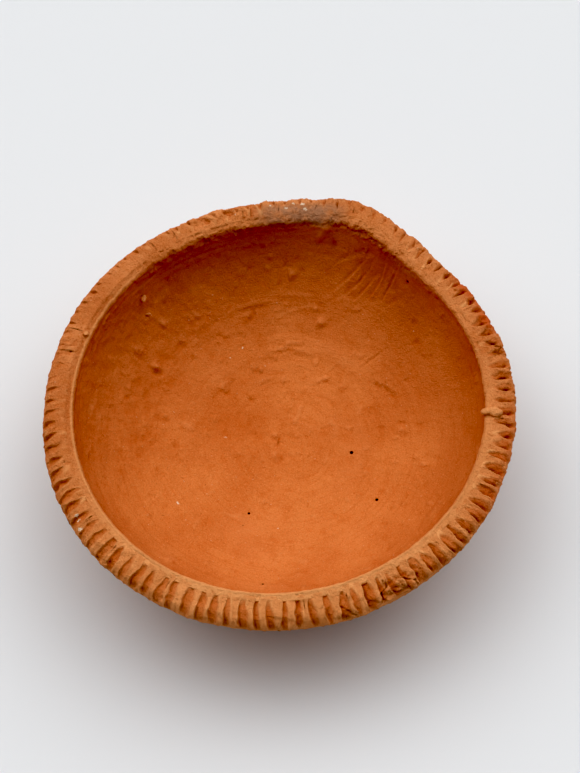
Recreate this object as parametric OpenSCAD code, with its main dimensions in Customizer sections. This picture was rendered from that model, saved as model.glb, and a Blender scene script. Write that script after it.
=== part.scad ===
// A small thrown clay oil lamp (diya) with a pinched spout for the wick.
// It is a shallow bowl on a flat foot, with a crimped band of clay round its lip.
// Z is up, the origin is the centre of the foot's resting face, and Y points to the spout.

/* [Bowl] */
// Diameter over the rim band, away from the spout
rim_d = 77; // [66:1:96]
// Height from the table to the top of the rim
height = 24; // [22:0.5:30]
// Depth of the inside at its centre
depth = 18; // [14:0.5:18.5]
// Diameter of the flat foot
foot_d = 42; // [34:1:46]
// Width of the wall's own lip at the top
lip_w = 1.5; // [1.2:0.1:2.2]
// How square the inside is in section, where 2 is an ellipse
squareness = 2.3; // [2.1:0.1:2.8]

/* [Rim band] */
// Width of the band on top of the rim, outside the lip
band_w = 3.6; // [3.2:0.1:4.2]
// Height of the band down the outside of the wall
band_h = 4.6; // [4.4:0.1:5.5]
// Number of tool notches round the band
notch_count = 108; // [80:4:120]
// Depth of a notch
notch_depth = 0.8; // [0.3:0.1:1]

/* [Spout] */
// How far the pinched spout stands out from the round rim
spout_reach = 3.7; // [1.5:0.1:5]
// How far the lip dips at the spout
spout_dip = 0.4; // [0:0.1:1.2]

/* [Unevenness of the hand-thrown rim] */
// Out of round, two lobes
oval = 0.1; // [0:0.05:0.6]
// Out of round, three lobes
trefoil = 0.25; // [0:0.05:0.5]

/* [Hidden] */

clay_inside = [0.76, 0.38, 0.14];
clay_band = [0.79, 0.46, 0.24];

rim_r = rim_d / 2;
foot_r = foot_d / 2;
// Depth of the fine groove between the lip and the band
groove = 0.3;
// Radius of the band's rounded outer shoulder
shoulder_r = 1.9;
// How far the band's underside stands out from the wall that it is pressed on
overhang = 3.2;
// Height of the foot's straight edge, below which it is bevelled and above which the wall swells out
foot_h = 1.6;
foot_bevel = 0.5;
// The rounded wall starts this far inside the foot's edge, and comes out through its side
wall_start = 1;
// Fullness of the outside of the wall, where 1 would be a straight cone
fullness = 0.45;

// The spout falls away slowly on one side and quickly on the other, where the thumb pressed
slow_side = 16;
quick_side = 15.5;
spout_tip = 2;
oval_at = 80;
trefoil_at = 18;

// Angle from the spout, from -180 to 180 degrees
function from_spout(a) = (a + 90) % 360 - 180;

// Share of the spout's push that is felt at angle a
function spout_share(a) =
    let (d = from_spout(a))
    d > 0 ? exp(-(sqrt(d * d + spout_tip * spout_tip) - spout_tip) / slow_side)
          : exp(-pow(d / quick_side, 2));

// How far the rim stands out from a true circle at angle a
function warp(a) =
    spout_reach * spout_share(a)
    + oval * cos(2 * (a - oval_at))
    + trefoil * cos(3 * (a - trefoil_at));

// The share of the rim's warp that the wall follows at height z
function follow(z) = pow(max(z, 0) / height, 2.2);

// A section is a list of [radius, height] pairs of the round bowl; this is where one goes at angle a
function place(p, a) =
    let (r = p[0] + warp(a) * follow(p[1]),
         z = p[1] - spout_dip * pow(spout_share(a), 2) * follow(p[1]))
    [r * cos(a), r * sin(a), z];

// The face where band and wall are luted together, from the groove down to the band's underside
seam_top = [rim_r - band_w, height - groove];
seam_bottom = [rim_r - overhang, height - band_h];

// Inside of the bowl: a superellipse from the lip down to the middle of the floor
inner_r = rim_r - band_w - lip_w;
inner_steps = 12;
function inside_at(u) = [
    inner_r * pow(cos(u), 2 / squareness),
    height - groove - (depth - groove) * pow(sin(u), 2 / squareness)
];
inside = [for (i = [0:inner_steps - 1]) inside_at(90 * i / inner_steps)];

// Outside of the wall, from inside the foot up to the band
outer_steps = 8;
wall_low = [foot_r - wall_start, foot_bevel];
function outside_at(t) = [
    wall_low[0] + (seam_bottom[0] - wall_low[0]) * pow(t, fullness),
    wall_low[1] + (seam_bottom[1] - wall_low[1]) * t
];
outside = [for (i = [0:outer_steps - 1]) outside_at(pow(i / outer_steps, 2))];

// The lip's own top: a fine ridge at the inner edge and a bevel down to the groove
ridge = [inner_r + 0.35, height + 0.1];

bowl_section = concat(outside, [seam_bottom, seam_top, ridge], inside);

// Rounded shoulder of the band, from its crown to its widest line
shoulder_steps = 4;
shoulder = [for (i = [0:shoulder_steps])
    let (u = 90 * i / shoulder_steps)
    [rim_r - shoulder_r * (1 - sin(u)), height - shoulder_r * (1 - cos(u))]
];
band_edge = [seam_top[0] + 0.5, height - 0.05];
flank = [[rim_r - 0.15, height - 3], [rim_r - 0.9, height - 4.1]];

// Open part of the band's section, and how deeply the tool marks each of its points
band_section = concat([band_edge], shoulder, flank);
mark = [0, 0, 0.45, 0.9, 1, 1, 0.8, 0];
// Where each mark pushes in: from the middle of the band's section
band_middle = [rim_r - 2.2, height - 2.4];

// A notch goes in steeply on one side and runs out gently on the other: [share of pitch, share of depth]
notch_steps = [[0, 0], [0.22, 1], [0.6, 0.1]];
pitch = 360 / notch_count;

function marked(p, share) =
    let (v = band_middle - p)
    p + v / norm(v) * share * notch_depth;

function between(p, q, t) = p * (1 - t) + q * t;

// One ring of the band's points at notch i and step s; the seam's points lie on the bowl's own facets
function band_ring(i, s) =
    let (a = i * pitch, t = s[0])
    concat(
        [for (p = [seam_bottom, seam_top]) between(place(p, a), place(p, a + pitch), t)],
        [for (k = [0:len(band_section) - 1])
            place(marked(band_section[k], mark[k] * s[1]), a + t * pitch)]
    );

// Side faces of a sweep of rings with n points each; a closed section joins its last point to its first
function side_faces(rings, n, closed) = [
    for (i = [0:rings - 1], k = [0:n - (closed ? 1 : 2)])
        let (j = (i + 1) % rings, m = (k + 1) % n)
        each [[i * n + k, i * n + m, j * n + m], [i * n + k, j * n + m, j * n + k]]
];

module bowl_shell() {
    n = len(bowl_section);
    rings = [for (i = [0:notch_count - 1]) each [for (p = bowl_section) place(p, i * pitch)]];
    middle = [0, 0, height - depth];
    base = [for (i = [0:notch_count - 1]) i * n];
    floor_fan = [for (i = [0:notch_count - 1])
        [i * n + n - 1, notch_count * n, ((i + 1) % notch_count) * n + n - 1]];
    polyhedron(concat(rings, [middle]), concat(side_faces(notch_count, n, false), floor_fan, [base]));
}

// The thrown bowl, with its flat foot and its pinched spout
module bowl() {
    color(clay_inside)
        union() {
            bowl_shell();
            rotate_extrude($fn = 96)
                polygon([
                    [0, 0],
                    [foot_r - foot_bevel, 0],
                    [foot_r, foot_bevel],
                    [foot_r, foot_h],
                    [0, foot_h]
                ]);
        }
}

// The band of clay that is luted round the lip and crimped with a tool
module rim_band() {
    color(clay_band) {
        n = len(band_section) + 2;
        rings = [for (i = [0:notch_count - 1], s = notch_steps) each band_ring(i, s)];
        polyhedron(rings, side_faces(notch_count * len(notch_steps), n, true));
    }
}

bowl();
rim_band();
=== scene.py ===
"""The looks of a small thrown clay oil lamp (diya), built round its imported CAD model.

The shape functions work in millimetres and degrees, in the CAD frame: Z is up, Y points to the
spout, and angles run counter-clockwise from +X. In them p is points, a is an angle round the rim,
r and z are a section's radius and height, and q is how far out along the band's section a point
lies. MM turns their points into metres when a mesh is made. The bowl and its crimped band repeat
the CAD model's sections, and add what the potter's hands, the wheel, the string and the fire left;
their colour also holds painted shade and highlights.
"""

import bpy
import numpy as np
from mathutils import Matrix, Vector


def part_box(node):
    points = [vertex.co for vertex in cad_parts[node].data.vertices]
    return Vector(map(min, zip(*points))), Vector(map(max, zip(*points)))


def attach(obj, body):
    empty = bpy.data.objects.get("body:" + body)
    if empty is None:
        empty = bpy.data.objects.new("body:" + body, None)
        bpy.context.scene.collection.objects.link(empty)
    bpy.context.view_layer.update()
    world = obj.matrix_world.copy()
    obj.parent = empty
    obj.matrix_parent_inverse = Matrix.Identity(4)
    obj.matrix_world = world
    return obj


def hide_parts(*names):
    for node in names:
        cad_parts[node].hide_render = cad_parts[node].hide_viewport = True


MM = 0.001
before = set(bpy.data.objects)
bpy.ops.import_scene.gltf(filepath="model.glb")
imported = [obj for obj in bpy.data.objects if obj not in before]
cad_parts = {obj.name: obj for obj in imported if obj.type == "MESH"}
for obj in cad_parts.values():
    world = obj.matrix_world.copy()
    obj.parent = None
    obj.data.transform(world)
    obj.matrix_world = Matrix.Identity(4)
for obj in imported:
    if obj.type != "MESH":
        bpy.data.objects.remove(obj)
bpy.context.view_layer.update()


# ---- Sizes, as in the CAD model ----
DEPTH = 18
FOOT_R = 21
LIP_W = 1.5
# How square the curve of the inside is: 2 is an ellipse
SQUARENESS = 2.3
BAND_W = 3.6
BAND_H = 4.6
NOTCH_COUNT = 108
NOTCH_DEPTH = 0.8
GROOVE = 0.3
SHOULDER_R = 1.9
OVERHANG = 3.2
FOOT_BEVEL = 0.5
# How far inside the foot's edge the wall's curve starts, and how fast it fills out: less is fuller
WALL_START = 1
FULLNESS = 0.45
# The ridge along the lip's inner edge
RIDGE_RISE = 0.1
RIDGE_IN = 0.35
# The spout: its angle, how far it pushes the rim out and down, and how wide its tip and sides are
SPOUT_AT = 90
SPOUT_REACH = 3.7
SPOUT_DIP = 0.4
SPOUT_TIP = 2
SLOW_SIDE = 16
QUICK_SIDE = 15.5
# Two slow waves in the rim: how far out they go, and the angle of a crest
OVAL = 0.1
OVAL_AT = 80
TREFOIL = 0.25
TREFOIL_AT = 18
# How fast the rim's warp fades down the wall, as a power of the height
FOLLOWING = 2.2


def bell(x, width):
    """A smooth bump, 1 at x = 0 and near nothing beyond two widths."""
    return np.exp(-(x / width) ** 2)


def turn(a, centre):
    """The angle from centre to a, from -180 to 180 degrees."""
    return (a - centre + 180) % 360 - 180


def cosd(a):
    """Cosine of degrees."""
    return np.cos(np.radians(a))


def sind(a):
    """Sine of degrees."""
    return np.sin(np.radians(a))


def spout_share(a):
    """The share of the spout's push that is felt at angle a."""
    d = turn(a, SPOUT_AT)
    slow = np.exp(-(np.sqrt(d * d + SPOUT_TIP ** 2) - SPOUT_TIP) / SLOW_SIDE)
    return np.where(d > 0, slow, bell(d, QUICK_SIDE))


def warp(a):
    """How far the rim stands out from a true circle at angle a."""
    lobes = OVAL * cosd(2 * (a - OVAL_AT)) + TREFOIL * cosd(3 * (a - TREFOIL_AT))
    return SPOUT_REACH * spout_share(a) + lobes


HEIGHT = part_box("bowl")[1].z / MM - RIDGE_RISE
RIM_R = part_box("rim_band")[1].x / MM - float(warp(0))
INNER_R = RIM_R - BAND_W - LIP_W


def follow(z):
    """The share of the rim's warp that the wall follows at height z."""
    return (np.maximum(z, 0) / HEIGHT) ** FOLLOWING


def swing(out, up, a):
    """The x, y and z of something that lies this far out and up in a section at angle a."""
    return np.stack([out * cosd(a), out * sind(a), up + 0 * a], -1)


def place(r, z, a):
    """Where a point of the round section goes at angle a, once the rim is pinched."""
    return swing(r + warp(a) * follow(z), z - SPOUT_DIP * spout_share(a) ** 2 * follow(z), a)


# ---- Noise and small tools for shapes ----
def corner_value(x, y, z, seed):
    """A repeatable random number from -1 to 1 for each whole-number corner."""
    mixed = x * 73856093 ^ y * 19349663 ^ z * 83492791 ^ (seed * 40503 + 977)
    mixed = mixed.astype(np.uint64) & np.uint64(0xFFFFFFFF)
    for factor in (0x2C1B3C6D, 0x297A2D39):
        mixed = (mixed ^ (mixed >> np.uint64(15))) * np.uint64(factor) & np.uint64(0xFFFFFFFF)
    return (mixed ^ (mixed >> np.uint64(15))).astype(float) / 0x7FFFFFFF - 1


def noise(x, y, z, seed):
    """Smooth noise from -1 to 1, with one lump for each unit of length."""
    x, y, z = np.broadcast_arrays(*(np.asarray(v, float) for v in (x, y, z)))
    cell = [np.floor(v).astype(np.int64) for v in (x, y, z)]
    part = [v - c for v, c in zip((x, y, z), cell)]
    ease = [p * p * (3 - 2 * p) for p in part]
    total = 0
    for corner in range(8):
        step = [corner >> k & 1 for k in range(3)]
        weight = 1
        for e, s in zip(ease, step):
            weight = weight * (e if s else 1 - e)
        total = total + weight * corner_value(*(c + s for c, s in zip(cell, step)), seed)
    return total


def grain(p, size, seed, layers=3):
    """Lumpy noise at points p (mm): lumps of the given size, with finer ones on them."""
    total = 0
    for k in range(layers):
        x, y, z = np.moveaxis(p * (2 ** k / size), -1, 0)
        total = total + noise(x, y, z, seed + k) / 2 ** k
    return total


def skin(p, size, seed):
    """A rough skin: 1 where it holds and 0 where it is torn off, with sharp ragged edges between."""
    return step_up(grain(p, size, seed, 3), -0.12, 0.12)


def streaks(run, a, size, turns, seed):
    """Noise drawn out round the wheel's axis, size mm across. The more turns, the shorter its streaks."""
    return noise(run / size, turns * cosd(a), turns * sind(a), seed)


def step_up(x, low, high):
    """0 below low and 1 above high, smooth between."""
    t = np.clip((x - low) / (high - low), 0, 1)
    return t * t * (3 - 2 * t)


def round_the_rim(a, marks):
    """A value that changes smoothly round the rim, from listed (angle, value) marks."""
    angles, values = zip(*marks)
    return np.interp(a % 360, angles, values, period=360)


def smooth_path(points, steps=10):
    """A smooth curve through a few section points."""
    p = np.array([points[0], *points, points[-1]], float)
    t = np.linspace(0, 1, steps, endpoint=False)[:, None]
    runs = []
    for a, b, c, d in zip(p, p[1:], p[2:], p[3:]):
        runs.append(b + t / 2 * (c - a + t * (2 * a - 5 * b + 4 * c - d + t * (3 * b - a - 3 * c + d))))
    return np.vstack([*runs, p[-1:]])


def run_along(path):
    """How far along the path each of its points lies."""
    return np.concatenate([[0], np.cumsum(np.hypot(*np.diff(path, axis=0).T))])


def resample(path, spacing):
    """The same line, with points about a spacing apart."""
    path = np.array(path, float)
    run = run_along(path)
    at = np.linspace(0, run[-1], max(1, round(run[-1] / spacing)) + 1)
    return np.stack([np.interp(at, run, path[:, 0]), np.interp(at, run, path[:, 1])], 1)


def normals_along(path):
    """The outward normal of each section point, for a section that goes up the outside of the clay."""
    along = np.gradient(path, axis=0)
    along /= np.maximum(np.hypot(along[:, 0], along[:, 1]), 1e-9)[:, None]
    return np.stack([along[:, 1], -along[:, 0]], 1)


def join_rings(low, n, high, m):
    """Faces between a ring of n points from index low and one of m points from index high.
    Either may be a single point, or have twice the other's points."""
    most = max(n, m)
    faces = []
    for k in range(most):
        low_here, low_after = (low + j * n // most % n for j in (k, k + 1))
        high_here, high_after = (high + j * m // most % m for j in (k, k + 1))
        # A corner that comes twice counts once: the face is a triangle
        faces.append(tuple(dict.fromkeys((low_here, low_after, high_after, high_here))))
    return faces


def add_object(name, data):
    """A new object in the scene."""
    thing = bpy.data.objects.new(name, data)
    bpy.context.scene.collection.objects.link(thing)
    return thing


def add_mesh(name, points, faces, material):
    """A new smooth-shaded mesh object. Its points are in metres."""
    mesh = bpy.data.meshes.new(name)
    mesh.from_pydata(points, [], faces)
    mesh.shade_smooth()
    mesh.materials.append(material)
    return add_object(name, mesh)


def make_piece(name, points, faces, values, material):
    """A piece that rides on the CAD body, with named values at its points for its material."""
    piece = add_mesh(name, (points * MM).tolist(), faces, material)
    for key, value in values.items():
        layer = piece.data.attributes.new(key, "FLOAT", "POINT")
        layer.data.foreach_set("value", np.broadcast_to(value, len(points)).astype(np.float32))
    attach(piece, "root")
    return piece


# ---- What the potter and the fire left, and the painted light, by angle round the rim ----
# The wheel's axis was a little off the middle of the finished rim
WHEEL_X = 2.2
WHEEL_Y = 0.8

# How deep the tool went, as a share of a full notch
NOTCH_FORCE = [
    (10, 0.42), (30, 0.42), (55, 0.4), (72, 0.35), (82, 0.25), (96, 0.3), (102, 0.5), (118, 0.45),
    (126, 0.38), (140, 0.4), (168, 0.38), (178, 0.3), (184, 0.05), (191, 0.05), (197, 0.4), (215, 0.6),
    (240, 0.5), (262, 0.45), (295, 0.47), (312, 0.6), (335, 0.5), (350, 0.44),
]
# How wide a notch is, as a share of the pitch
NOTCH_WIDTH = [
    (10, 0.75), (45, 0.65), (100, 0.5), (140, 0.75), (200, 0.8), (225, 0.72), (245, 0.7), (300, 0.7),
    (335, 0.75),
]
# How square its section is: 1 is a plain slope up from the deepest line, more gives it a flat floor
NOTCH_SQUARENESS = [
    (10, 2), (60, 1.2), (130, 0.8), (200, 0.8), (222, 1.2), (245, 1.9), (300, 2), (340, 2),
]
# How deep a crease the tool's corner left along the notch's steep side (the crease also gets painted
# shade), as a share of a full notch
CREASE_DEPTH = [
    (10, 1.05), (60, 1), (90, 0.5), (100, 0.6), (150, 0.55), (170, 0.35), (200, 0.3), (235, 0.2),
    (305, 0.2), (335, 0.8),
]
# Where the notches start, in mm out from the groove
NOTCH_START = [
    (10, 0.3), (75, 0.3), (100, 0.8), (130, 1.2), (160, 1), (180, 0.7), (200, 0.6), (225, 0.3), (245, 0),
    (260, -0.1), (305, -0.1), (325, 0.1), (350, 0.3),
]
# Where they end, in mm out from the groove, and over what length they run out
NOTCH_END = [
    (10, 4.35), (30, 4.2), (50, 4.05), (80, 4.05), (95, 4.2), (150, 4.5), (200, 5), (235, 5.4),
    (320, 5.5), (345, 4.8),
]
NOTCH_RUNOUT = [
    (10, 1.4), (45, 1.4), (90, 1.7), (150, 1.7), (200, 1.5), (235, 1.4), (320, 1.2), (345, 1.1),
]
# How high the burrs round the notches stand, as a share of a full burr
BURR_HEIGHT = [(10, 0.8), (60, 0.8), (130, 0.6), (165, 0.25), (215, 0.3), (245, 1), (320, 1)]
# Height of the groove between lip and band, and of the lip's inner ridge, in mm from the rim's top
GROOVE_AT = [
    (0, -0.02), (60, -0.03), (100, -0.04), (140, -0.08), (156, 0), (205, 0), (230, -0.04), (250, -0.06),
    (310, -0.06),
]
RIDGE_AT = [
    (0, -0.12), (50, -0.3), (75, -0.5), (145, -0.5), (160, -0.6), (205, -0.6), (235, -0.2), (265, 0.09),
    (300, 0.09), (330, 0.02),
]
# How far the band's inner edge was smeared over the lip, in mm
SMEAR = [
    (0, 0.5), (60, 0.5), (110, 0.6), (140, 0.5), (156, 0.55), (208, 0.55), (232, 0.6), (255, 0.85),
    (305, 0.8), (335, 0.6),
]
# Where that edge stands up as a step (1) and where it was thinned to nothing (0)
EDGE_STANDS = [(0, 0), (146, 0), (156, 1), (208, 1), (228, 0)]
# How rough and torn the inner edge of the lip is
LIP_ROUGHNESS = [
    (0, 0.2), (50, 0.4), (62, 0.3), (70, 0.9), (88, 0.9), (98, 0.6), (112, 0.6), (122, 0.9), (146, 0.85),
    (156, 0.5), (163, 0.1), (200, 0.08), (300, 0.2),
]
# How sharp the ridge at the lip's inner edge is, and how strong a highlight is painted along it
RIDGE_SHARPNESS = [
    (0, 0.5), (30, 0.2), (70, 0.1), (150, 0.1), (166, 0.8), (200, 0.9), (240, 0.9), (300, 1), (340, 0.8),
]
# How torn the skin of the band is
TORN_SKIN = [
    (0, 0.4), (25, 0.9), (50, 0.8), (70, 0.9), (85, 0.4), (100, 0.8), (130, 0.9), (140, 0.15),
    (210, 0.15), (232, 0.7), (262, 0.8), (285, 0.5), (305, 1), (330, 0.7),
]
# How far the band bulges out past the CAD model's, in mm
BULGE = [
    (0, 0), (12, 0.2), (45, 0.15), (60, 0), (78, 0.5), (88, 0.7), (100, 0.3), (125, 0), (170, -0.05),
    (205, -0.15), (225, 0.25), (250, 0.1), (275, 0.05), (290, -0.05), (300, 0.08), (335, 0.03),
]
# How much lighter the rim is painted, most round its near side where the windows light it least: painted
# light
PAINTED_RIM_LIGHT = [
    (0, 0.25), (30, 0.05), (60, 0.1), (130, 0.1), (165, 0), (205, 0), (225, 0.15), (250, 0.4), (270, 0.5),
    (310, 0.5), (335, 0.3),
]

# Where the finish changes, as (middle, half width) in degrees, with a strength if it varies
ASH = (103, 11)
WORN = (187, 6)
CRUSHED = (318.5, 4)
PITTED = (123, 7)
RED_PATCHES = [(47, 9, 1), (8, 8, 0.5), (352, 9, 0.6)]
# Cracks across the band, as (angle, start, end, depth, lean): mm from the groove, and degrees a mm
CRACKS = [
    (184, 0.4, 4.7, 0.22, 0.1), (34, 0.7, 3.9, 0.6, -0.4), (37.5, 1, 3.6, 0.4, 0.8),
    (31, 1.2, 4.2, 0.5, 0.6), (84.5, 2.4, 3.8, 0.4, 2), (303.5, 2, 4.4, 0.35, 1.5),
    (316, 1, 4.4, 0.6, -1), (320, 1.4, 4.6, 0.6, 1.2), (126, 1.2, 4.4, 0.5, 1), (121, 1.4, 3.6, 0.5, -1),
]


def near(a, patch):
    """1 near a patch's middle, fading out round its half width."""
    return 1 - step_up(np.abs(turn(a, patch[0])), 0.6 * patch[1], 1.4 * patch[1])


def lip_top(a, way):
    """The lip's height above the rim's top (mm), at a share of the way in from groove to crest."""
    groove, ridge = round_the_rim(a, GROOVE_AT), round_the_rim(a, RIDGE_AT)
    return groove + (ridge - groove) * np.clip(way, 0, 1)


def ridge_shift(a):
    """How far the lip's inner ridge lies above the CAD model's own, in mm."""
    return round_the_rim(a, RIDGE_AT) - RIDGE_RISE


# ---- The bowl ----
def inside_path():
    """The inside, from the lip down to the middle of the floor."""
    u = np.linspace(0, 90, 200)
    r = INNER_R * np.maximum(cosd(u), 0) ** (2 / SQUARENESS)
    z = HEIGHT - GROOVE - (DEPTH - GROOVE) * sind(u) ** (2 / SQUARENESS)
    return np.stack([r, z], 1)


def outside_path():
    """The outside of the wall, from the foot's bevel up to the underside of the band."""
    low_r, low_z = FOOT_R - WALL_START, FOOT_BEVEL
    t = np.linspace(0, 1, 120) ** 2
    r = low_r + (RIM_R - OVERHANG - low_r) * t ** FULLNESS
    z = low_z + (HEIGHT - BAND_H - low_z) * t
    return np.stack([r, z], 1)[r > FOOT_R]


# How far down from the rim the finely divided top of the inside goes, in mm
EDGE_DROP = 1.7
# Where the crest of the lip lies, as a share of the way from the groove to the inside
LIP_CREST = 0.66
# How much closer together the stations are at the spout than at the sides
STATION_CROWDING = 0.45
# How many stations go round the lip, the inside and the outside, and the radii where they halve
LIP_STATIONS = 1440
INSIDE_STATIONS = 720
OUTSIDE_STATIONS = 360
HALVED_BELOW = (17, 8.5, 4.2, 2.1)


def bowl_rows():
    """The section, from under the foot to the floor, as rows of zone, r, z, normal r and z, stations."""
    foot = [[0.6, 0], [FOOT_R - FOOT_BEVEL - 0.1, 0], [FOOT_R - 0.2, 0.15], [FOOT_R, FOOT_BEVEL]]
    seam = [[RIM_R - OVERHANG, HEIGHT - BAND_H], [RIM_R - BAND_W, HEIGHT - GROOVE]]
    lip = smooth_path([seam[1], [INNER_R + RIDGE_IN + 0.5, HEIGHT - 0.08],
                       [INNER_R + RIDGE_IN, HEIGHT + RIDGE_RISE], [INNER_R, HEIGHT - GROOVE]])
    inside = inside_path()
    drop = HEIGHT - inside[:, 1]
    edge, wall = inside[drop < EDGE_DROP], inside[drop >= EDGE_DROP]
    zones = [("foot", foot, 1.2), ("outside", outside_path(), 0.85), ("seam", seam, 1.6),
             ("lip", lip, 0.14), ("edge", edge, 0.2), ("inside", np.vstack([edge[-1:], wall]), 0.41)]
    rows = []
    for zone, path, spacing in zones:
        path = resample(path, spacing)
        across = normals_along(path)
        for (r, z), (across_r, across_z) in list(zip(path, across))[1 if rows else 0:]:
            rows.append((zone, r, z, across_r, across_z, stations_at(zone, r)))
    return rows


def angles_of(n):
    """The angles of n stations round a ring, closest together at the spout."""
    t = np.arange(n) / n
    return 360 * t - np.degrees(STATION_CROWDING * sind(360 * t - SPOUT_AT))


def stations_at(zone, r):
    """How many points go round a ring of the bowl, so that they stay about evenly spaced."""
    if zone in ("lip", "edge"):
        return LIP_STATIONS
    wanted = INSIDE_STATIONS if zone in ("seam", "inside") else OUTSIDE_STATIONS
    for limit in HALVED_BELOW:
        if r < limit:
            wanted //= 2
    return wanted


# Lumps on the inside, as (x, y, width, height) in mm
LUMPS = [
    (-12.5, 6.5, 0.8, 0.75), (-9, 12, 0.85, 0.55), (-7.5, 12, 0.5, 0.4), (-24.5, 4.5, 0.75, 0.7),
    (-28, 5.5, 0.75, 0.7), (-13, 20.5, 0.75, 0.5), (0, 23.5, 1, 0.5), (-7.5, 29, 0.8, 0.4),
    (4, 14, 0.7, 0.4), (20, 7.5, 0.75, 0.6), (25.5, 1.5, 0.7, 0.5), (-8, -29.5, 0.8, 0.35),
    (0.5, -2.5, 1.1, 0.45), (-1, 1, 0.8, 0.35), (4, -1, 0.5, 0.35), (-3, 11.5, 0.6, 0.35),
    (6.5, -8, 0.45, 0.4), (-26, 12, 0.6, 0.5), (-20, -3, 0.6, 0.3), (-22, -8, 0.5, 0.3),
    (11, 6, 0.5, 0.3), (30, -6, 0.6, 0.35),
]
# Short ridges that grit left along the rings, as (run from the middle, angle, length in degrees, height)
DRAGS = [
    (18.6, 100, 9, 0.3), (17.7, 106, 14, 0.26), (16.9, 96, 12, 0.2), (21, 44, 6, 0.42),
    (19.6, 48, 7, 0.35), (12.5, 122, 12, 0.24), (26.5, 118, 16, 0.2), (27.3, 105, 20, 0.14),
    (10.4, 60, 40, 0.08), (16, 150, 20, 0.12),
]
# Folds where the thumb dragged the wall into the spout, as three points (x, y) of a bend, in mm
WRINKLES = [
    ((5.8, 33.8), (2.5, 33.9), (-0.8, 32.2)), ((5.2, 33.8), (2.6, 31.2), (0.1, 28.4)),
    ((6.4, 33), (4.6, 30.6), (1.8, 28)), ((8.6, 32.8), (8.3, 30.6), (7, 28.4)),
    ((11, 31.5), (10.5, 30.4), (9.6, 28.4)), ((7.4, 31.4), (6.2, 30), (4.4, 27.6)),
    ((-1, 26), (-6, 24), (-9, 20)),
]
# The middle (x, y) of the brushed part of the wall, in mm, and the way that the brush went, in degrees
BRUSHED = (-20, 14, 65)
# Straight scratches on the floor, as three points (x, y), in mm
SCRATCHES = [
    ((13, 15.5), (15, 14.5), (16, 12.3)), ((-14, -6), (-15, -9), (-15.5, -11)),
    ((2, 20), (-1, 20.4), (-4, 20)), ((9.5, 17.5), (11, 19.5), (12.5, 21)),
]
# How far below the lip the rib cut its lines, and how deep, in mm
RIB_CUTS = [(2, 0.16), (2.7, 0.1), (3.7, 0.12), (4.9, 0.07)]


def place_by_bend(x, y, bend):
    """How far points (x, y) lie to the left of a three-point bend, and how far along it, 0 to 1."""
    start, middle, end = (np.array(p, float) for p in bend)
    control = 2 * middle - (start + end) / 2
    nearest = np.full(x.shape, 1e9)
    side = np.zeros(x.shape)
    along = np.zeros(x.shape)
    for t in np.linspace(0, 1, 40):
        px, py = (1 - t) ** 2 * start + 2 * t * (1 - t) * control + t * t * end
        run_x, run_y = (1 - t) * (control - start) + t * (end - control)
        gap = np.hypot(x - px, y - py)
        closer = gap < nearest
        along = np.where(closer, t, along)
        side = np.where(closer, np.sign(run_x * (y - py) - run_y * (x - px)) * gap, side)
        nearest = np.minimum(nearest, gap)
    return side, along


def fold(x, y, bend, height):
    """A fold along a bend: a sharp step up on its left that soon fades, tapered at both ends."""
    side, along = place_by_bend(x, y, bend)
    taper = np.sin(np.pi * np.clip(0.08 + 0.9 * along, 0, 1)) ** 0.6
    return taper * height * (step_up(side, -0.15, 0.15) * bell(side, 0.5) - 0.9 * bell(side + 0.1, 0.28))


def thrown_relief(run, a):
    """What the wheel left on the inside: soft waves, rings, and fine lines that come and go."""
    far_side = 0.5 + 0.5 * cosd(a - 95)
    centred = run - (WHEEL_X * cosd(a) + WHEEL_Y * sind(a)) * (1 - step_up(run, 14, 30))
    relief = 0.16 * streaks(centred, a, 6, 0.9, 11) + 0.04 * streaks(centred, a, 2.6, 1.2, 12)
    shown = far_side * step_up(streaks(centred, a, 6, 1.5, 16), -0.5, 0.4)
    relief += (0.055 * streaks(centred, a, 1.1, 2, 13) + 0.045 * streaks(centred, a, 0.8, 3, 14)) * shown
    relief += 0.1 * bell(centred - 3.5, 0.8) * (0.5 + 0.5 * cosd(a - 220))
    relief -= 0.06 * bell(centred - 10.5, 0.5) * far_side
    relief += 0.1 * np.tanh((centred - 16.7) / 0.4) * bell(centred - 16.7, 2.5) * far_side
    for at, middle, length, height in DRAGS:
        gap = centred - at - 0.35 * noise(a / 5, at, 0, 15)
        relief += height * bell(turn(a, middle), length / 2) * (bell(gap, 0.35) - bell(gap + 0.6, 0.4))
    return relief


def brushed(x, y):
    """Fine marks of a brush or a sponge, drawn across the wall on the slow side of the spout."""
    brush_x, brush_y, heading = BRUSHED
    along = (x - brush_x) * cosd(heading) + (y - brush_y) * sind(heading)
    aside = (y - brush_y) * cosd(heading) - (x - brush_x) * sind(heading)
    return 0.13 * noise(along / 4, aside / 0.4, 0, 46) * bell(along, 8) * bell(aside, 5)


def lumps(p, x, y):
    """Grit and crumbs in the skin, each with the wake that it left, and small bumps and pits."""
    relief = np.zeros(len(p))
    uneven = grain(p, 0.9, 31, 2)
    for lump_x, lump_y, width, height in LUMPS:
        gap = np.hypot(x - lump_x, y - lump_y) * (1 + 0.45 * uneven)
        wake = np.hypot(x - lump_x - 0.9 * width, y - lump_y + 0.7 * width)
        lump = (1 - step_up(gap / width, 0.2, 1.4)) * (0.8 + 0.7 * uneven)
        relief += 1.1 * height * lump - 0.35 * height * bell(wake, width)
    spots = grain(p, 1.5, 41, 1)
    return relief + 0.22 * step_up(spots, 0.62, 0.85) - 0.18 * step_up(-spots, 0.66, 0.88)


def thumbed(a, down):
    """A hollow in the spout's quick corner, the drag lines down it, and a tongue of clay beside it."""
    hollow = -0.35 * bell(turn(a, 78), 7) * bell(down - 6, 4)
    dragged = 0.07 * noise(turn(a, 70) / 0.9, down / 9, 0, 45) * bell(turn(a, 72), 9) * bell(down - 5, 5)
    tongue = bell(turn(a, 95 + 0.4 * down), 2.4 - 0.25 * down.clip(0, 6))
    return hollow + dragged + 0.6 * tongue * step_up(5.5 - down, 0, 2)


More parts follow.
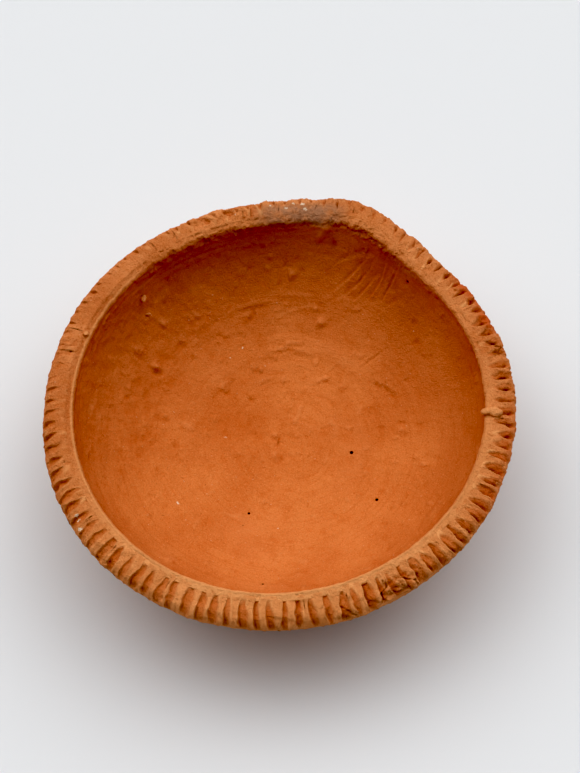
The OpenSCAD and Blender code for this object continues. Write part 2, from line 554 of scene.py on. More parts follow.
def rib_cuts(a, down):
    """Lines that the potter's rib cut just under the lip."""
    relief = np.zeros(len(a))
    for at, depth in RIB_CUTS:
        gap = down - at - 0.25 * noise(a / 9, at, 0, 44)
        relief += depth * (bell(gap, 0.25) - bell(gap - 0.5, 0.3))
    return relief * bell(turn(a, 140), 38)


def inside_relief(p, run, a, down):
    """Everything that stands up from the inside of the bowl, in mm."""
    x, y = p[:, 0], p[:, 1]
    relief = thrown_relief(run, a) + 0.1 * grain(p, 9, 21, 2) + 0.045 * grain(p, 2, 24, 3)
    left_wall = bell(turn(a, 185), 60) * step_up(run, 14, 24)
    relief += left_wall * 0.13 * grain(p, 1, 27, 2)
    for bends, height in ((WRINKLES, 0.19), (SCRATCHES, 0.14)):
        relief += sum(fold(x, y, bend, height) for bend in bends)
    return relief + brushed(x, y) + lumps(p, x, y) + thumbed(a, down) + rib_cuts(a, down)


def lip_relief(bowl):
    """How the lip differs from the CAD model: the torn inner edge, the ridge and the clay's grain."""
    p, a = bowl.base, bowl.a
    rough = round_the_rim(a, LIP_ROUGHNESS)
    torn = 0.13 * grain(p, 2, 51, 2) + 0.1 * grain(p, 0.6, 53, 2) + 0.26 * skin(p, 1.2, 56) - 0.13
    shreds = 0.22 * step_up(noise(turn(a, 0) / 2.2, bowl.down / 0.5, 0, 58), 0.1, 0.4)
    ridge = round_the_rim(a, RIDGE_SHARPNESS) * (0.7 + 0.5 * noise(a / 4, 0, 3, 54))
    far_tears = rough * (torn + shreds * bell(turn(a, 84), 16))
    return far_tears + 0.16 * ridge * bell(bowl.edge - LIP_CREST, 0.08) + 0.05 * grain(p, 1.1, 57, 3)


def outside_relief(p, z, a):
    """Turning lines, a smear or two and the clay's own grain on the outside of the wall."""
    turned = 0.2 * streaks(z, a, 2.4, 0.8, 61) + 0.1 * streaks(z, a, 0.9, 2, 62)
    smears = 0.17 * grain(p * [1, 1, 2.5], 7, 63, 2)
    pits = -0.25 * step_up(grain(p, 1.6, 65, 1), 0.66, 0.9)
    return turned + smears + pits + 0.04 * grain(p, 1.2, 66, 2)


def foot_relief(p):
    """Arcs that the cutting string left under the foot. They only take clay away, so it rests flat."""
    x, y = p[:, 0], p[:, 1]
    pull = np.hypot(x - 26, y + 9)
    arcs = 0.5 + 0.5 * np.sin(2 * np.pi * pull / 1.7 + 1.4 * noise(x / 8, y / 8, 0, 71))
    dish = step_up(17 - np.hypot(x, y), 0, 12)
    return -(0.16 * arcs + 0.3 * dish + 0.08 * (1 + grain(p, 2, 72, 2)))


class BowlPoints:
    """Each point of the bowl, smooth as yet: every row of the section, at every station."""

    def __init__(self, rows):
        self.counts = [row[5] for row in rows]
        per_row = np.repeat(np.arange(len(rows)), self.counts)
        columns = [np.array([row[k] for row in rows])[per_row] for k in range(5)]
        self.zone, self.r, self.z, across_r, across_z = columns
        self.a = np.concatenate([angles_of(n) for n in self.counts])
        self.base = place(self.r, self.z, self.a)
        self.across = swing(across_r, across_z, self.a)
        self.inside = (self.zone == "inside") | (self.zone == "edge")
        self.lip = self.zone == "lip"
        self.down = HEIGHT - self.z
        # How far it is along the section to the middle of the floor
        inward = run_along(np.array([row[1:3] for row in rows]))
        self.run = (inward[-1] - inward + rows[-1][1])[per_row]
        # 0 at the groove and before it, and 1 at the lip's inner edge and beyond
        lip_rows = np.flatnonzero([row[0] == "lip" for row in rows])
        self.edge = np.clip((per_row - lip_rows[0]) / (len(lip_rows) - 1), 0, 1)


def bowl_relief(bowl):
    """How far each point of the bowl moves out along its normal, in mm."""
    move = np.zeros(len(bowl.a))
    lip_part = lip_relief(bowl)
    reaching = EDGE_DROP + 1.2 * round_the_rim(bowl.a, LIP_ROUGHNESS)
    inside, lip, outside = bowl.inside, bowl.lip, bowl.zone == "outside"
    move[inside] = inside_relief(bowl.base[inside], bowl.run[inside], bowl.a[inside], bowl.down[inside])
    move[inside] *= step_up(bowl.down[inside], 0.2, 1.2)
    move[inside] += (lip_part * step_up(reaching - bowl.down, 0, 1.3))[inside]
    move[lip] = (lip_part * step_up(bowl.edge, 0, 0.35))[lip]
    z = bowl.z[outside]
    move[outside] = outside_relief(bowl.base[outside], z, bowl.a[outside])
    move[outside] *= step_up(z, FOOT_BEVEL, 2) * step_up(HEIGHT - BAND_H - z, -0.2, 1)
    under = (bowl.zone == "foot") & (bowl.r < FOOT_R - FOOT_BEVEL)
    move[under] = foot_relief(bowl.base[under]) * step_up(FOOT_R - FOOT_BEVEL - bowl.r[under], 0, 1.5)
    return move


def bowl_lift(bowl):
    """How far each point goes up or down, so that the lip follows its groove and its ridge, in mm."""
    on_top = bowl.lip & (bowl.edge <= LIP_CREST)
    lift = np.where(on_top, HEIGHT + lip_top(bowl.a, bowl.edge / LIP_CREST) - bowl.z, 0)
    lift += np.where(bowl.lip & ~on_top, ridge_shift(bowl.a), 0)
    return lift + np.where(bowl.inside, ridge_shift(bowl.a) * step_up(4 - bowl.down, 0, 3.7), 0)


def bowl_values(bowl, move):
    """What the bowl's material has to know at each point."""
    ridge = round_the_rim(bowl.a, RIDGE_SHARPNESS) * bell(bowl.edge - LIP_CREST - 0.04, 0.12) * bowl.lip
    # The wall stays dry for a way down from the lip, and furthest where the thumb dragged it
    dry_down = 1.1 + 3.2 * bell(turn(bowl.a, 70), 10)
    dry_wall = step_up(dry_down - bowl.down, 0, 0.7 * dry_down)
    return {
        # Painted shade and highlight: the colour darkens where the surface sinks and lightens where it
        # stands up
        "relief": np.clip(move * 2.5, -1, 1),
        "dry": np.where(bowl.lip, 1, np.where(bowl.inside, dry_wall, 0.5)),
        "ash": near(bowl.a, ASH) * step_up(1.6 - bowl.down, 0, 1.2) * (bowl.r > FOOT_R + 8),
        # Painted highlight along the lip's inner ridge, and painted light round the lip's near side
        "pale": np.maximum(ridge, 1.8 * round_the_rim(bowl.a, PAINTED_RIM_LIGHT) * bowl.lip),
    }


def make_bowl(material):
    """The thrown bowl with its foot: one closed skin, displaced along its normals."""
    bowl = BowlPoints(bowl_rows())
    move = bowl_relief(bowl)
    points = bowl.base + bowl.across * move[:, None]
    points[:, 2] += bowl_lift(bowl)
    foot = bowl.zone == "foot"
    points[foot, 2] = np.maximum(points[foot, 2], 0)

    # A point closes the foot, and another the floor, as high as the last two rings round it
    counts = [1, *bowl.counts, 1]
    floor_z = points[-2 * counts[-2]:, 2].mean()
    points = np.vstack([[0, 0, 0.5], points, [0, 0, floor_z]])
    values = {key: np.concatenate([[0], value, [0]]) for key, value in bowl_values(bowl, move).items()}
    starts = np.cumsum([0, *counts]).tolist()
    faces = []
    for k in range(len(counts) - 1):
        faces += join_rings(starts[k], counts[k], starts[k + 1], counts[k + 1])
    piece = make_piece("bowl_clay", points, faces, values, material)
    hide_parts("bowl")


# ---- The crimped band ----
# Where the stations of one notch lie, as shares of the pitch from its crest: close at the steep side
NOTCH_STATIONS = np.array([-0.22, -0.12, -0.06, -0.02, 0.02, 0.06, 0.1, 0.14, 0.2, 0.28, 0.37, 0.47,
                           0.57, 0.68])
# Where in that share the notch is deepest
EDGE_AT = 0.12
# About how far apart the notches are, and how high a full burr stands, in mm
PITCH = 2.2
FULL_BURR = 0.17
# How far apart the points of the band's section are, in mm
BAND_SPACING = 0.16


def band_path():
    """The band's open side, from its inner edge over the shoulder and down to its underside."""
    inner = [[RIM_R - BAND_W, HEIGHT], [RIM_R - BAND_W + 0.9, HEIGHT]]
    shoulder = [[RIM_R - SHOULDER_R * (1 - sind(u)), HEIGHT - SHOULDER_R * (1 - cosd(u))]
                for u in range(0, 91, 15)]
    under = [[RIM_R - 0.15, HEIGHT - 3], [RIM_R - 0.5, HEIGHT - 3.8], [RIM_R - 1.1, HEIGHT - 4.25],
             [RIM_R - OVERHANG, HEIGHT - BAND_H]]
    return resample(smooth_path([*inner, *shoulder, *under]), BAND_SPACING)


def notch_sizes(rng):
    """Each notch's own place and sizes: no two pushes of the tool were the same."""
    n = NOTCH_COUNT
    crest = (np.arange(n) + rng.uniform(-0.1, 0.1, n)) * 360 / n

    def varied(marks, low, high):
        return round_the_rim(crest, marks) * rng.uniform(low, high, n)

    return {
        "crest": crest,
        "force": varied(NOTCH_FORCE, 0.6, 1.3),
        "width": varied(NOTCH_WIDTH, 0.75, 1.2),
        "squareness": varied(NOTCH_SQUARENESS, 0.8, 1.2),
        "start": round_the_rim(crest, NOTCH_START) + rng.uniform(-0.25, 0.45, n),
        "end": round_the_rim(crest, NOTCH_END) + rng.uniform(-0.3, 0.2, n),
        "runout": varied(NOTCH_RUNOUT, 0.85, 1.15),
        "slant": 3 + rng.uniform(-6, 6, n),
        "burr": varied(BURR_HEIGHT, 0.3, 1.3),
        "crease": varied(CREASE_DEPTH, 0.6, 1.2),
    }


def notch_relief(p, share, q, own):
    """How far the tool pushed the clay in and how high a burr it raised, in mm, and how deep a point
    lies in the notch and in its crease, from 0 to 1. The tool went in steeply on one side and left a
    slope or a flat floor."""
    share = share + 0.07 * noise(q / 0.9, own["crest"], share * 3, 81)
    q = q + 0.35 * noise(share * 4, own["crest"], q / 2, 82)
    onset = np.clip(2 / own["squareness"], 0.5, 1.7)
    rounded = 0.9 * np.clip((2 * share / own["width"] - 1) ** 2, 0, 1)
    start, end = own["start"] + rounded, own["end"] - rounded
    still_on = 1 - step_up(q, end - own["runout"], end)
    reach = step_up(q, start - 0.2, start + onset) * still_on
    short_of = np.clip((start - 0.2 - q) / onset, 0, 1)
    steep = np.maximum(EDGE_AT - share, 0) / EDGE_AT
    slope = np.maximum(share - EDGE_AT, 0) / np.maximum(own["width"] - EDGE_AT, 0.05)
    inside = reach - short_of - steep - slope ** own["squareness"]
    depth = np.tanh(own["squareness"] * np.maximum(inside, 0)) / np.tanh(own["squareness"])
    streaky = 0.2 * noise(share * 14, own["crest"], q / 4, 83) + 0.15 * grain(p, 0.8, 84, 2)
    ragged = 0.5 + 0.7 * noise(q / 0.6, own["crest"], 0, 86)
    burr = own["burr"] * bell(inside + 0.25, 0.25) * step_up(0.75 - share, 0, 0.25) * still_on
    burr = FULL_BURR * burr * ragged * np.minimum(2 * own["force"], 1)
    crease = own["crease"] * bell(share - EDGE_AT - 0.02, 0.05 + 0.06 * own["crease"]) * reach
    crease = crease * (0.8 + 0.5 * noise(q, own["crest"], 0, 87)) * np.minimum(3 * own["force"], 1)
    push = NOTCH_DEPTH * (own["force"] * depth * (1 + streaky) + crease)
    return push, burr, depth, crease


def cracked(a, q):
    """How deep the band is cracked or torn across, in mm."""
    depth_there = 0
    for angle, start, end, depth, lean in CRACKS:
        wander = 0.5 * noise(q / 0.8, angle, 0, 93)
        gap = np.radians(turn(a, angle + lean * (q - start))) * RIM_R + wander
        along = step_up(q, start - 0.2, start + 0.4) * (1 - step_up(q, end - 0.4, end + 0.2))
        depth_there = depth_there + depth * bell(gap, 0.15) * along
    return depth_there


def damage(p, a, q):
    """What broke or crushed the band, in mm down into it."""
    on_top = 1 - step_up(q, 4, 5.2)
    crushed = 0.35 + 0.5 * np.tanh(3 * grain(p, 1.3, 91, 3))
    lost = near(a, CRUSHED) * step_up(q, 0.8, 1.6) * on_top * crushed
    lost += near(a, PITTED) * 0.6 * step_up(grain(p, 0.95, 96, 1), 0.12, 0.34)
    lost += near(a, WORN) * 0.2 * step_up(grain(p, 0.7, 97, 1), 0.1, 0.5)
    lost += 0.22 * step_up(grain(p, 1.3, 98, 1), 0.66, 0.85)
    return lost


class BandPoints:
    """Each point of the band before the tool touched it: every station of every notch."""

    def __init__(self, own, path):
        per_notch = len(NOTCH_STATIONS)
        pick = np.repeat(np.arange(NOTCH_COUNT), per_notch)
        self.own = {key: value[pick][:, None] for key, value in own.items()}
        self.share = np.tile(NOTCH_STATIONS, NOTCH_COUNT)[:, None]
        # How far out along the section a point lies from the groove, in mm
        q = run_along(path)
        crest = self.own["crest"]
        gap_after = (np.roll(crest, -per_notch, 0) - crest) % 360
        gap_before = (crest - np.roll(crest, per_notch, 0)) % 360
        lean = self.own["slant"] / 100 * (q - 3) * step_up(q, 0, 1) * step_up(8 - q, 0, 1)
        aside = self.share * np.where(self.share < 0, gap_before, gap_after)
        self.a = crest + aside + np.degrees(lean * PITCH / RIM_R)
        self.q = np.broadcast_to(q, self.a.shape)
        # The inner edge is smeared over the lip
        self.smear = round_the_rim(self.a, SMEAR)
        self.r, z = (np.broadcast_to(path[:, k], self.a.shape) for k in (0, 1))
        self.base = place(self.r - self.smear * (1 - step_up(self.q, 0, 1.3)), z, self.a)


def band_relief(band, pressed):
    """How far each point of the band moves out along its normal, in mm. pressed is what the tool did."""
    relief = pressed * (1 - 0.8 * near(band.a, CRUSHED))
    relief += 0.09 * grain(band.base, 4.5, 92, 2) + 0.05 * grain(band.base, 1, 95, 3)
    between_notches = np.sin(np.pi * np.clip((band.share - 0.5) / 0.5, 0, 1))
    relief += 0.1 * between_notches * step_up(band.q, 1, 2)
    torn = round_the_rim(band.a, TORN_SKIN) * step_up(band.q, 0.2, 1) * (1 - step_up(band.q, 4.6, 5.6))
    drawn_out = np.stack([band.q / 2.5, np.radians(band.a) * RIM_R, 0 * band.q], -1)
    relief += torn * (0.22 * skin(band.base, 2, 99) + 0.2 * skin(drawn_out, 1.1, 94) - 0.21)
    return relief + round_the_rim(band.a, BULGE) * step_up(band.q, 2, 4.5)


def band_lift(band):
    """How far the inner edge goes up or down, to lie on the lip or stand up from it as a step."""
    over_lip = band.smear * (1 - step_up(band.q, 0, 1.3)) - np.maximum(band.r - (RIM_R - BAND_W), 0)
    lying = lip_top(band.a, over_lip / (LIP_W - RIDGE_IN)) + 0.05 * step_up(band.q, 0, 0.35) - 0.03
    thinned = 1 - round_the_rim(band.a, EDGE_STANDS)
    return lying * (1 - step_up(band.q, 0.04, 0.3 + 2 * band.smear * thinned))


def make_band(material):
    """The band of clay luted round the lip, crimped with a tool: one closed ring."""
    path = band_path()
    # This section runs outward and down, so its outward normals are the other way round
    across_r, across_z = -normals_along(path).T
    band = BandPoints(notch_sizes(np.random.default_rng(seed=5)), path)
    push, burr, depth, crease = notch_relief(band.base, band.share, band.q, band.own)
    lost, cracks = damage(band.base, band.a, band.q), cracked(band.a, band.q)
    relief = band_relief(band, burr - push) - lost - cracks
    relief *= step_up(band.q, 0, 0.4) * step_up(band.q.max() - band.q, 0, 0.6)
    points = band.base + relief[..., None] * swing(across_r, across_z, band.a)
    points[..., 2] += band_lift(band)

    # The back of the band, where it is pressed on the wall
    back = [place(*(path[-1] * (1 - t) + path[0] * t - [0.05, 0]), band.a[:, 0]) for t in (0.33, 0.67)]
    ring = np.concatenate([points, np.stack(back, 1)], 1)
    total, n = ring.shape[:2]
    i, k = np.meshgrid(np.arange(total), np.arange(n), indexing="ij")
    after, up = (i + 1) % total, (k + 1) % n
    faces = np.stack([i * n + k, i * n + up, after * n + up, after * n + k], -1).reshape(-1, 4)

    red = sum(strength * near(band.a, patch) for *patch, strength in RED_PATCHES)
    values = {
        # Painted shade and highlight: lighter on the burrs, darker in the crushed and pitted hollows
        "relief": np.clip((burr - lost) * 2, -1, 1),
        # Painted shade: the colour is darkened along the creases and the cracks
        "crease": np.clip(1.6 * crease + 1.3 * cracks, 0, 1),
        # Painted shade: the notch floors are darker and redder, the more so the deeper they go
        "cut": np.clip(1.6 * depth * band.own["force"], 0, 1),
        # Painted highlight on the burr crests, and painted light round the band's near side
        "pale": np.clip(burr * 8 + round_the_rim(band.a, PAINTED_RIM_LIGHT) * (1 - depth), 0, 1),
        "ash": near(band.a, ASH) * (1 - 0.85 * step_up(band.q, 0.6, 2.4)),
        "red": red * step_up(band.q, 0.8, 2.8),
        "dry": np.ones(band.a.shape),
    }
    values = {key: np.pad(value, ((0, 0), (0, len(back)))).ravel() for key, value in values.items()}
    points = ring.reshape(-1, 3)
    piece = make_piece("rim_band_clay", points, faces.tolist(), values, material)
    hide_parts("rim_band")


# ---- Crumbs of clay that were fired on ----
# As (x, y, z, length, width, thickness, direction): mm and degrees
CRUMBS = [
    (34.2, 8.1, 24.15, 2.4, 1.5, 1.2, 8), (32.9, 7.8, 23.9, 2, 1.4, 1.2, 25),
    (37.3, -3.2, 23.2, 1.1, 0.7, 0.4, 90), (-29.4, 12.9, 18.6, 1.5, 0.8, 0.5, 100),
    (-28.4, 11.7, 15.8, 0.9, 0.6, 0.4, 20), (-30.6, 13.6, 19.6, 0.8, 0.5, 0.4, 60),
    (-34, 0.4, 23.95, 0.9, 0.8, 0.5, 100),
]


def make_crumbs(material):
    """Small rough bits of clay stuck on the lip and on the wall below it."""
    rows, stations = 12, 20
    tilt = np.linspace(0, 180, rows + 1)[:, None]
    ball = swing(sind(tilt), -cosd(tilt), np.arange(stations) * 360 / stations + 0 * tilt).reshape(-1, 3)
    points, faces = [], []
    for number, (x, y, z, length, width, thick, heading) in enumerate(CRUMBS):
        bumpy = 1 + 0.25 * grain(ball + 5 * number, 0.9, 101, 2)[:, None]
        along, aside, up = (ball * bumpy * [length / 2, width / 2, thick / 2]).T
        points.append(np.stack([x + along * cosd(heading) - aside * sind(heading),
                                y + along * sind(heading) + aside * cosd(heading), z + up], 1))
        for row in range(rows):
            low = number * len(ball) + row * stations
            faces += join_rings(low, stations, low + stations, stations)
    # The crumbs are paler all over: partly their own dry clay, partly painted highlight
    values = {"pale": 0.6, "dry": 1.0}
    make_piece("clay_crumbs", np.vstack(points), faces, values, material)


# ---- The clay's material ----
CLAY = (0.61, 0.215, 0.08)
CLAY_LIGHT = (0.68, 0.26, 0.1)
CLAY_DEEP_AND_SHADE = (0.53, 0.15, 0.047)
NOTCH_FLOOR_SHADE = (0.57, 0.16, 0.045)
DRY = (0.63, 0.235, 0.095)
DRY_LIGHT_AND_HIGHLIGHT = (0.78, 0.335, 0.15)
DRY_PALE_AND_PAINTED_LIGHT = (0.95, 0.5, 0.235)
DRY_RED = (0.62, 0.14, 0.05)
ASH_GREY = (0.47, 0.26, 0.165)
CREASE_SHADE = (0.25, 0.06, 0.02)
FLECK = (0.85, 0.68, 0.52)
SPECK = (0.16, 0.03, 0.01)
PINHOLE_SHADE = (0.02, 0.004, 0.004)

# Pinholes, painted near black as the shade in them, and pale grains on the inside, as (x, y, z, radius)
# in mm
PINHOLES = [
    (12.9, 1.6, 7, 0.32), (19.7, -6.2, 8.9, 0.26), (-0.1, -15, 7.3, 0.24), (-0.2, -17.6, 7.9, 0.2),
    (7.1, -27.9, 13.4, 0.22), (13.4, 30.2, 20, 0.3), (-16.2, 31.2, 20.2, 0.4),
]
PALE_GRAINS = [
    (-9, -2.4, 6.4, 0.22), (-12.1, 14.6, 8.3, 0.2), (-11.8, -17.7, 9.1, 0.22), (-13.5, 12, 8, 0.16),
    (-15, 17.5, 10, 0.15), (5.5, -16, 7.6, 0.2), (9, 9, 6.6, 0.15),
]
# White flecks of lime on the band
LIME = [
    (-22.2, -30, 23.8, 0.35), (-21.8, -30.6, 23.5, 0.3), (-20.9, -31.8, 23.4, 0.38),
    (-7.6, 36.7, 23.8, 0.35), (-8.5, 37.5, 23.9, 0.35), (-10, 37, 23.9, 0.3), (-10.9, 35.7, 23.9, 0.3),
    (-13.7, 35.2, 24, 0.3), (-19, 31.5, 24, 0.22),
]


class Graph:
    """Adds linked nodes to a node tree, so that a material reads as a list of steps."""

    def __init__(self, tree):
        self.tree = tree

    def add(self, kind, inputs, **settings):
        """A new node, with its settings, and its inputs as values or links."""
        node = self.tree.nodes.new(kind)
        for key, value in settings.items():
            setattr(node, key, value)
        for key, value in inputs.items():
            self.put(node.inputs[key], value)
        return node

    def put(self, socket, value):
        """Links a socket to another one, or sets its value."""
        if isinstance(value, bpy.types.NodeSocket):
            self.tree.links.new(value, socket)
        elif socket.type == "RGBA":
            socket.default_value = (*value, 1)
        else:
            socket.default_value = value

    def math(self, operation, a, b=0.0):
        return self.add("ShaderNodeMath", {0: a, 1: b}, operation=operation).outputs[0]

    def times(self, a, b):
        return self.math("MULTIPLY", a, b)

    def plus(self, a, b):
        return self.math("ADD", a, b)

    def vector(self, operation, a, b=(0, 0, 0), output="Vector"):
        return self.add("ShaderNodeVectorMath", {0: a, 1: b}, operation=operation).outputs[output]

    def scaled(self, a, factor):
        return self.add("ShaderNodeVectorMath", {0: a, "Scale": factor}, operation="SCALE").outputs[0]

    def between(self, value, low, high, to_low=0.0, to_high=1.0):
        """to_low where the value is low, to_high where it is high, and smooth between."""
        inputs = {"Value": value, "From Min": low, "From Max": high, "To Min": to_low, "To Max": to_high}
        return self.add("ShaderNodeMapRange", inputs, interpolation_type="SMOOTHSTEP").outputs["Result"]

    def mix(self, share, a, b):
        """Colour a, with a share of it replaced by colour b."""
        node = self.add("ShaderNodeMix", {"Factor": share}, data_type="RGBA")
        self.put(node.inputs[6], a)
        self.put(node.inputs[7], b)
        return node.outputs[2]

    def tint(self, colour, new, value, low, high, strength):
        """The colour with the new one mixed in, up to a strength, as the value goes from low to high."""
        return self.mix(self.times(self.between(value, low, high), strength), colour, new)

    def noise(self, where, scale, detail=3.0, roughness=0.5):
        inputs = {"Vector": where, "Scale": scale, "Detail": detail, "Roughness": roughness}
        return self.add("ShaderNodeTexNoise", inputs).outputs["Fac"]

    def value(self, name):
        """A value that the piece holds at each of its points."""
        return self.add("ShaderNodeAttribute", {}, attribute_name=name).outputs["Fac"]

    def place_in_mm(self):
        return self.scaled(self.add("ShaderNodeTexCoord", {}).outputs["Object"], 1 / MM)

    def wheel_place(self, where, across, around):
        """Coordinates that run round the wheel's axis: a noise in them makes throwing lines."""
        split = self.add("ShaderNodeSeparateXYZ", {0: where}).outputs
        x = self.math("SUBTRACT", split[0], WHEEL_X)
        y = self.math("SUBTRACT", split[1], WHEEL_Y)
        flat = self.add("ShaderNodeCombineXYZ", {0: x, 1: y}).outputs[0]
        run = self.plus(self.vector("LENGTH", flat, output="Value"), self.times(split[2], 1.1))
        lifted = self.add("ShaderNodeCombineXYZ", {2: self.times(run, across)}).outputs[0]
        return self.vector("ADD", self.scaled(self.vector("NORMALIZE", flat), around), lifted)

    def spotted(self, where, spots):
        """1 inside any of the (x, y, z, radius) spots, and 0 outside them."""
        found = 0.0
        for x, y, z, radius in spots:
            gap = self.vector("DISTANCE", where, (x, y, z), "Value")
            found = self.math("MAXIMUM", found, self.between(gap, radius * 1.2, radius * 0.7))
        return found


def new_material(name):
    """A material, the graph of its nodes, and its shader's inputs."""
    material = bpy.data.materials.new(name)
    material.use_nodes = True
    shader = material.node_tree.nodes["Principled BSDF"]
    return material, Graph(material.node_tree), shader.inputs


def bare_clay(g, cloud, patch, grit, lines, dry, thrown):
    """The clay's colour: smooth and deep where it was wiped, dusty where it is dry. The grit is darker
    in its pits and lighter on its grains: partly the clay's own speckle, partly painted shade and
    highlight.
    """
    smooth = g.mix(cloud, CLAY, CLAY_LIGHT)
    smooth = g.tint(smooth, CLAY_DEEP_AND_SHADE, patch, 0.5, 0.75, 0.4)
    smooth = g.tint(smooth, CLAY_DEEP_AND_SHADE, lines, 0.48, 0.7, 0.3 * thrown)
    dusty = g.mix(cloud, DRY, DRY_LIGHT_AND_HIGHLIGHT)
    dusty = g.tint(dusty, DRY_PALE_AND_PAINTED_LIGHT, patch, 0.45, 0.25, 0.5)
    dusty = g.tint(dusty, CLAY_LIGHT, patch, 0.5, 0.68, 0.6)
    colour = g.mix(g.times(dry, 0.85), smooth, dusty)
    grit_shade_and_mottle = g.plus(0.7, g.times(dry, 0.2))
    # Darker in the grit's pits and lighter on its grains, as the bump raises them: partly speckle, partly
    # painted shade and highlight
    colour = g.tint(colour, CLAY_DEEP_AND_SHADE, grit, 0.48, 0.3, grit_shade_and_mottle)
    return g.tint(colour, DRY_LIGHT_AND_HIGHLIGHT, grit, 0.53, 0.72, grit_shade_and_mottle)


def marked(g, colour, where, patch):
    """The colour with what the tool, the hands and the fire did to it, and with painted shade and
    highlights, from the values at the points.
    """
    relief = g.value("relief")
    # Painted shade in the hollows and painted highlight on what stands up
    colour = g.tint(colour, CLAY_DEEP_AND_SHADE, relief, -0.05, -0.8, 0.5)
    colour = g.tint(colour, DRY_LIGHT_AND_HIGHLIGHT, relief, 0.1, 0.9, 0.35)
    # Painted shade in the notch floors
    colour = g.mix(g.times(g.value("cut"), 0.6), colour, NOTCH_FLOOR_SHADE)
    # Painted shade along the creases and the cracks
    colour = g.mix(g.times(g.value("crease"), 0.8), colour, CREASE_SHADE)
    uneven = g.between(patch, 0.38, 0.6, 0.35, 0.85)
    colour = g.mix(g.times(g.value("red"), uneven), colour, DRY_RED)
    # Painted light and highlights: the rim's near side, the lip's ridge, the burr crests and, in part,
    # the crumbs
    colour = g.mix(g.times(g.value("pale"), 0.8), colour, DRY_PALE_AND_PAINTED_LIGHT)
    film = g.between(g.noise(where, 0.35, 5, 0.65), 0.32, 0.6, 0.35, 0.9)
    return g.mix(g.times(g.value("ash"), film), colour, ASH_GREY)


def flecked(g, colour, where, flecks):
    """The colour with specks all over it and pale ragged flecks in their own places."""
    specks = g.noise(where, 2.3, 1)
    colour = g.tint(colour, FLECK, specks, 0.76, 0.81, 0.35)
    colour = g.tint(colour, SPECK, specks, 0.24, 0.2, 0.4)
    ragged = g.add("ShaderNodeTexNoise", {"Vector": where, "Scale": 2.2}).outputs["Color"]
    ragged = g.vector("SUBTRACT", g.vector("ADD", where, ragged), (0.5, 0.5, 0.5))
    return g.mix(g.times(g.spotted(ragged, flecks), 0.9), colour, FLECK)


def clay_material(name, thrown, holes, flecks):
    """Matt low-fired terracotta. thrown is how strongly the wheel's fine lines show."""
    material, g, shader = new_material(name)
    where = g.place_in_mm()
    cloud = g.between(g.noise(where, 0.09, 3), 0.35, 0.68)
    patch = g.noise(where, 0.5, 4, 0.6)
    grit = g.noise(where, 4.2, 3, 0.7)
    lines = g.noise(g.wheel_place(where, 1.5, 2.2), 1.0, 3, 0.6)
    dry = g.value("dry")
    hole = g.spotted(where, holes)

    colour = bare_clay(g, cloud, patch, grit, lines, dry, thrown)
    colour = flecked(g, marked(g, colour, where, patch), where, flecks)
    # Painted shade: the pinholes are coloured near black
    g.put(shader["Base Color"], g.mix(hole, colour, PINHOLE_SHADE))
    g.put(shader["Roughness"], g.between(patch, 0.3, 0.7, 0.82, 0.97))
    g.put(shader["Specular IOR Level"], 0.25)

    # The skin's own height in mm: grain, finer grit, the wheel's lines and the holes
    peel = g.noise(where, 0.95, 4, 0.62)
    rough = g.plus(g.times(dry, 0.8), 1.0)
    height = g.times(rough, g.plus(g.times(peel, 0.28), g.times(grit, 0.2)))
    height = g.plus(height, g.times(lines, 0.03 * thrown))
    height = g.math("SUBTRACT", height, g.times(hole, 0.3))
    bump = g.add("ShaderNodeBump", {"Height": height, "Strength": 1.0, "Distance": MM})
    g.put(shader["Normal"], bump.outputs["Normal"])
    return material


# ---- Floor, light and camera ----
# The floor is flat out to the first radius, then sweeps up to a low wall at the second, in metres
FLOOR_FLAT = 0.7
FLOOR_EDGE = 3
WALL_HEIGHT = 0.5
FLOOR_COLOUR = (0.72, 0.73, 0.742)


def make_floor():
    """A plain pale tabletop that sweeps up all round, like a photographer's paper."""
    rings, stations = 14, 72
    points = [(0, 0, 0)]
    faces = join_rings(0, 1, 1, stations)
    for ring in range(rings):
        share = ring / (rings - 1)
        out = FLOOR_FLAT + (FLOOR_EDGE - FLOOR_FLAT) * share
        if ring > 0:
            faces += join_rings(len(points) - stations, stations, len(points), stations)
        points += swing(out, WALL_HEIGHT * share ** 2, np.arange(stations) * 360 / stations).tolist()
    material, g, shader = new_material("pale_tabletop")
    g.put(shader["Base Color"], FLOOR_COLOUR)
    g.put(shader["Roughness"], 0.7)
    g.put(shader["Specular IOR Level"], 0.2)
    add_mesh("floor", points, faces, material)


def direction(azimuth, elevation):
    """The unit vector towards something seen at this azimuth (from -Y towards +X) and elevation."""
    return np.array([sind(azimuth) * cosd(elevation), -cosd(azimuth) * cosd(elevation), sind(elevation)])


# Where the camera stands, seen from the middle of the rim, in degrees and metres
VIEW_AZIMUTH = 20.2
VIEW_ELEVATION = 62
VIEW_DISTANCE = 0.1874
# How far past the middle of the rim it looks, to its right and away from it, in mm
AIM_RIGHT = 2.02
AIM_AWAY = 1.25
# Its lens and the longer side of its sensor, in mm
LENS = 53.8
SENSOR = 36


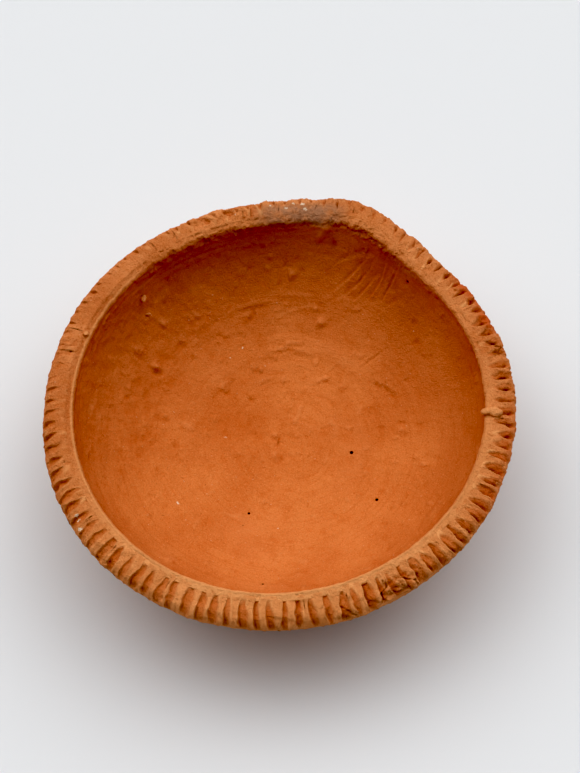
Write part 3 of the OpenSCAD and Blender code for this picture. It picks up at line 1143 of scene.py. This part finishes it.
def make_camera():
    """A camera as close as a hand-held phone, looking down into the bowl over its near rim."""
    right, away = direction(VIEW_AZIMUTH + 90, 0), direction(VIEW_AZIMUTH + 180, 0)
    centre = np.array([0, 0, HEIGHT * MM])
    where = Vector(centre + VIEW_DISTANCE * direction(VIEW_AZIMUTH, VIEW_ELEVATION))
    aim = Vector(centre + AIM_RIGHT * MM * right + AIM_AWAY * MM * away)
    data = bpy.data.cameras.new("camera")
    data.lens = LENS
    data.sensor_width = SENSOR
    data.clip_start = 0.01
    camera = add_object("camera", data)
    camera.location = where
    camera.rotation_euler = (aim - where).to_track_quat("-Z", "Y").to_euler()
    bpy.context.scene.camera = camera


# The two windows that light the room, as (azimuth from the camera's, elevation, spread, strength)
WINDOWS = [(129, 57, 31, 3.02), (241, 54, 26, 3.54)]
ROOM_GLOW = 0.012
# What the camera does to its picture: it adds contrast (more below 1) and cuts off the darkest light
CONTRAST = 0.83
BLACK_LEVEL = 0.053


def make_light():
    """A dim room lit by two large soft windows on the far side, and a photographic contrast."""
    world = bpy.data.worlds.new("room")
    world.use_nodes = True
    g = Graph(world.node_tree)
    toward = g.add("ShaderNodeTexCoord", {}).outputs["Generated"]
    glow = ROOM_GLOW
    for azimuth, elevation, spread, strength in WINDOWS:
        middle = tuple(direction(VIEW_AZIMUTH + azimuth, elevation))
        facing = g.vector("DOT_PRODUCT", toward, middle, "Value")
        falloff = g.times(g.math("SUBTRACT", facing, 1.0), 1 / (1 - cosd(spread)))
        glow = g.plus(glow, g.times(g.math("EXPONENT", falloff), strength))
    background = world.node_tree.nodes["Background"].inputs
    g.put(background["Color"], (1, 1, 1))
    g.put(background["Strength"], glow)
    bpy.context.scene.world = world
    view = bpy.context.scene.view_settings
    view.view_transform = "Standard"
    view.gamma = CONTRAST
    view.use_curve_mapping = True
    view.curve_mapping.black_level = [BLACK_LEVEL] * 3


make_camera()
make_light()
make_floor()
bowl_material = clay_material("terracotta_thrown", 1.0, PINHOLES, PALE_GRAINS)
band_material = clay_material("terracotta_band", 0.15, [], LIME)
make_bowl(bowl_material)
make_band(band_material)
make_crumbs(band_material)
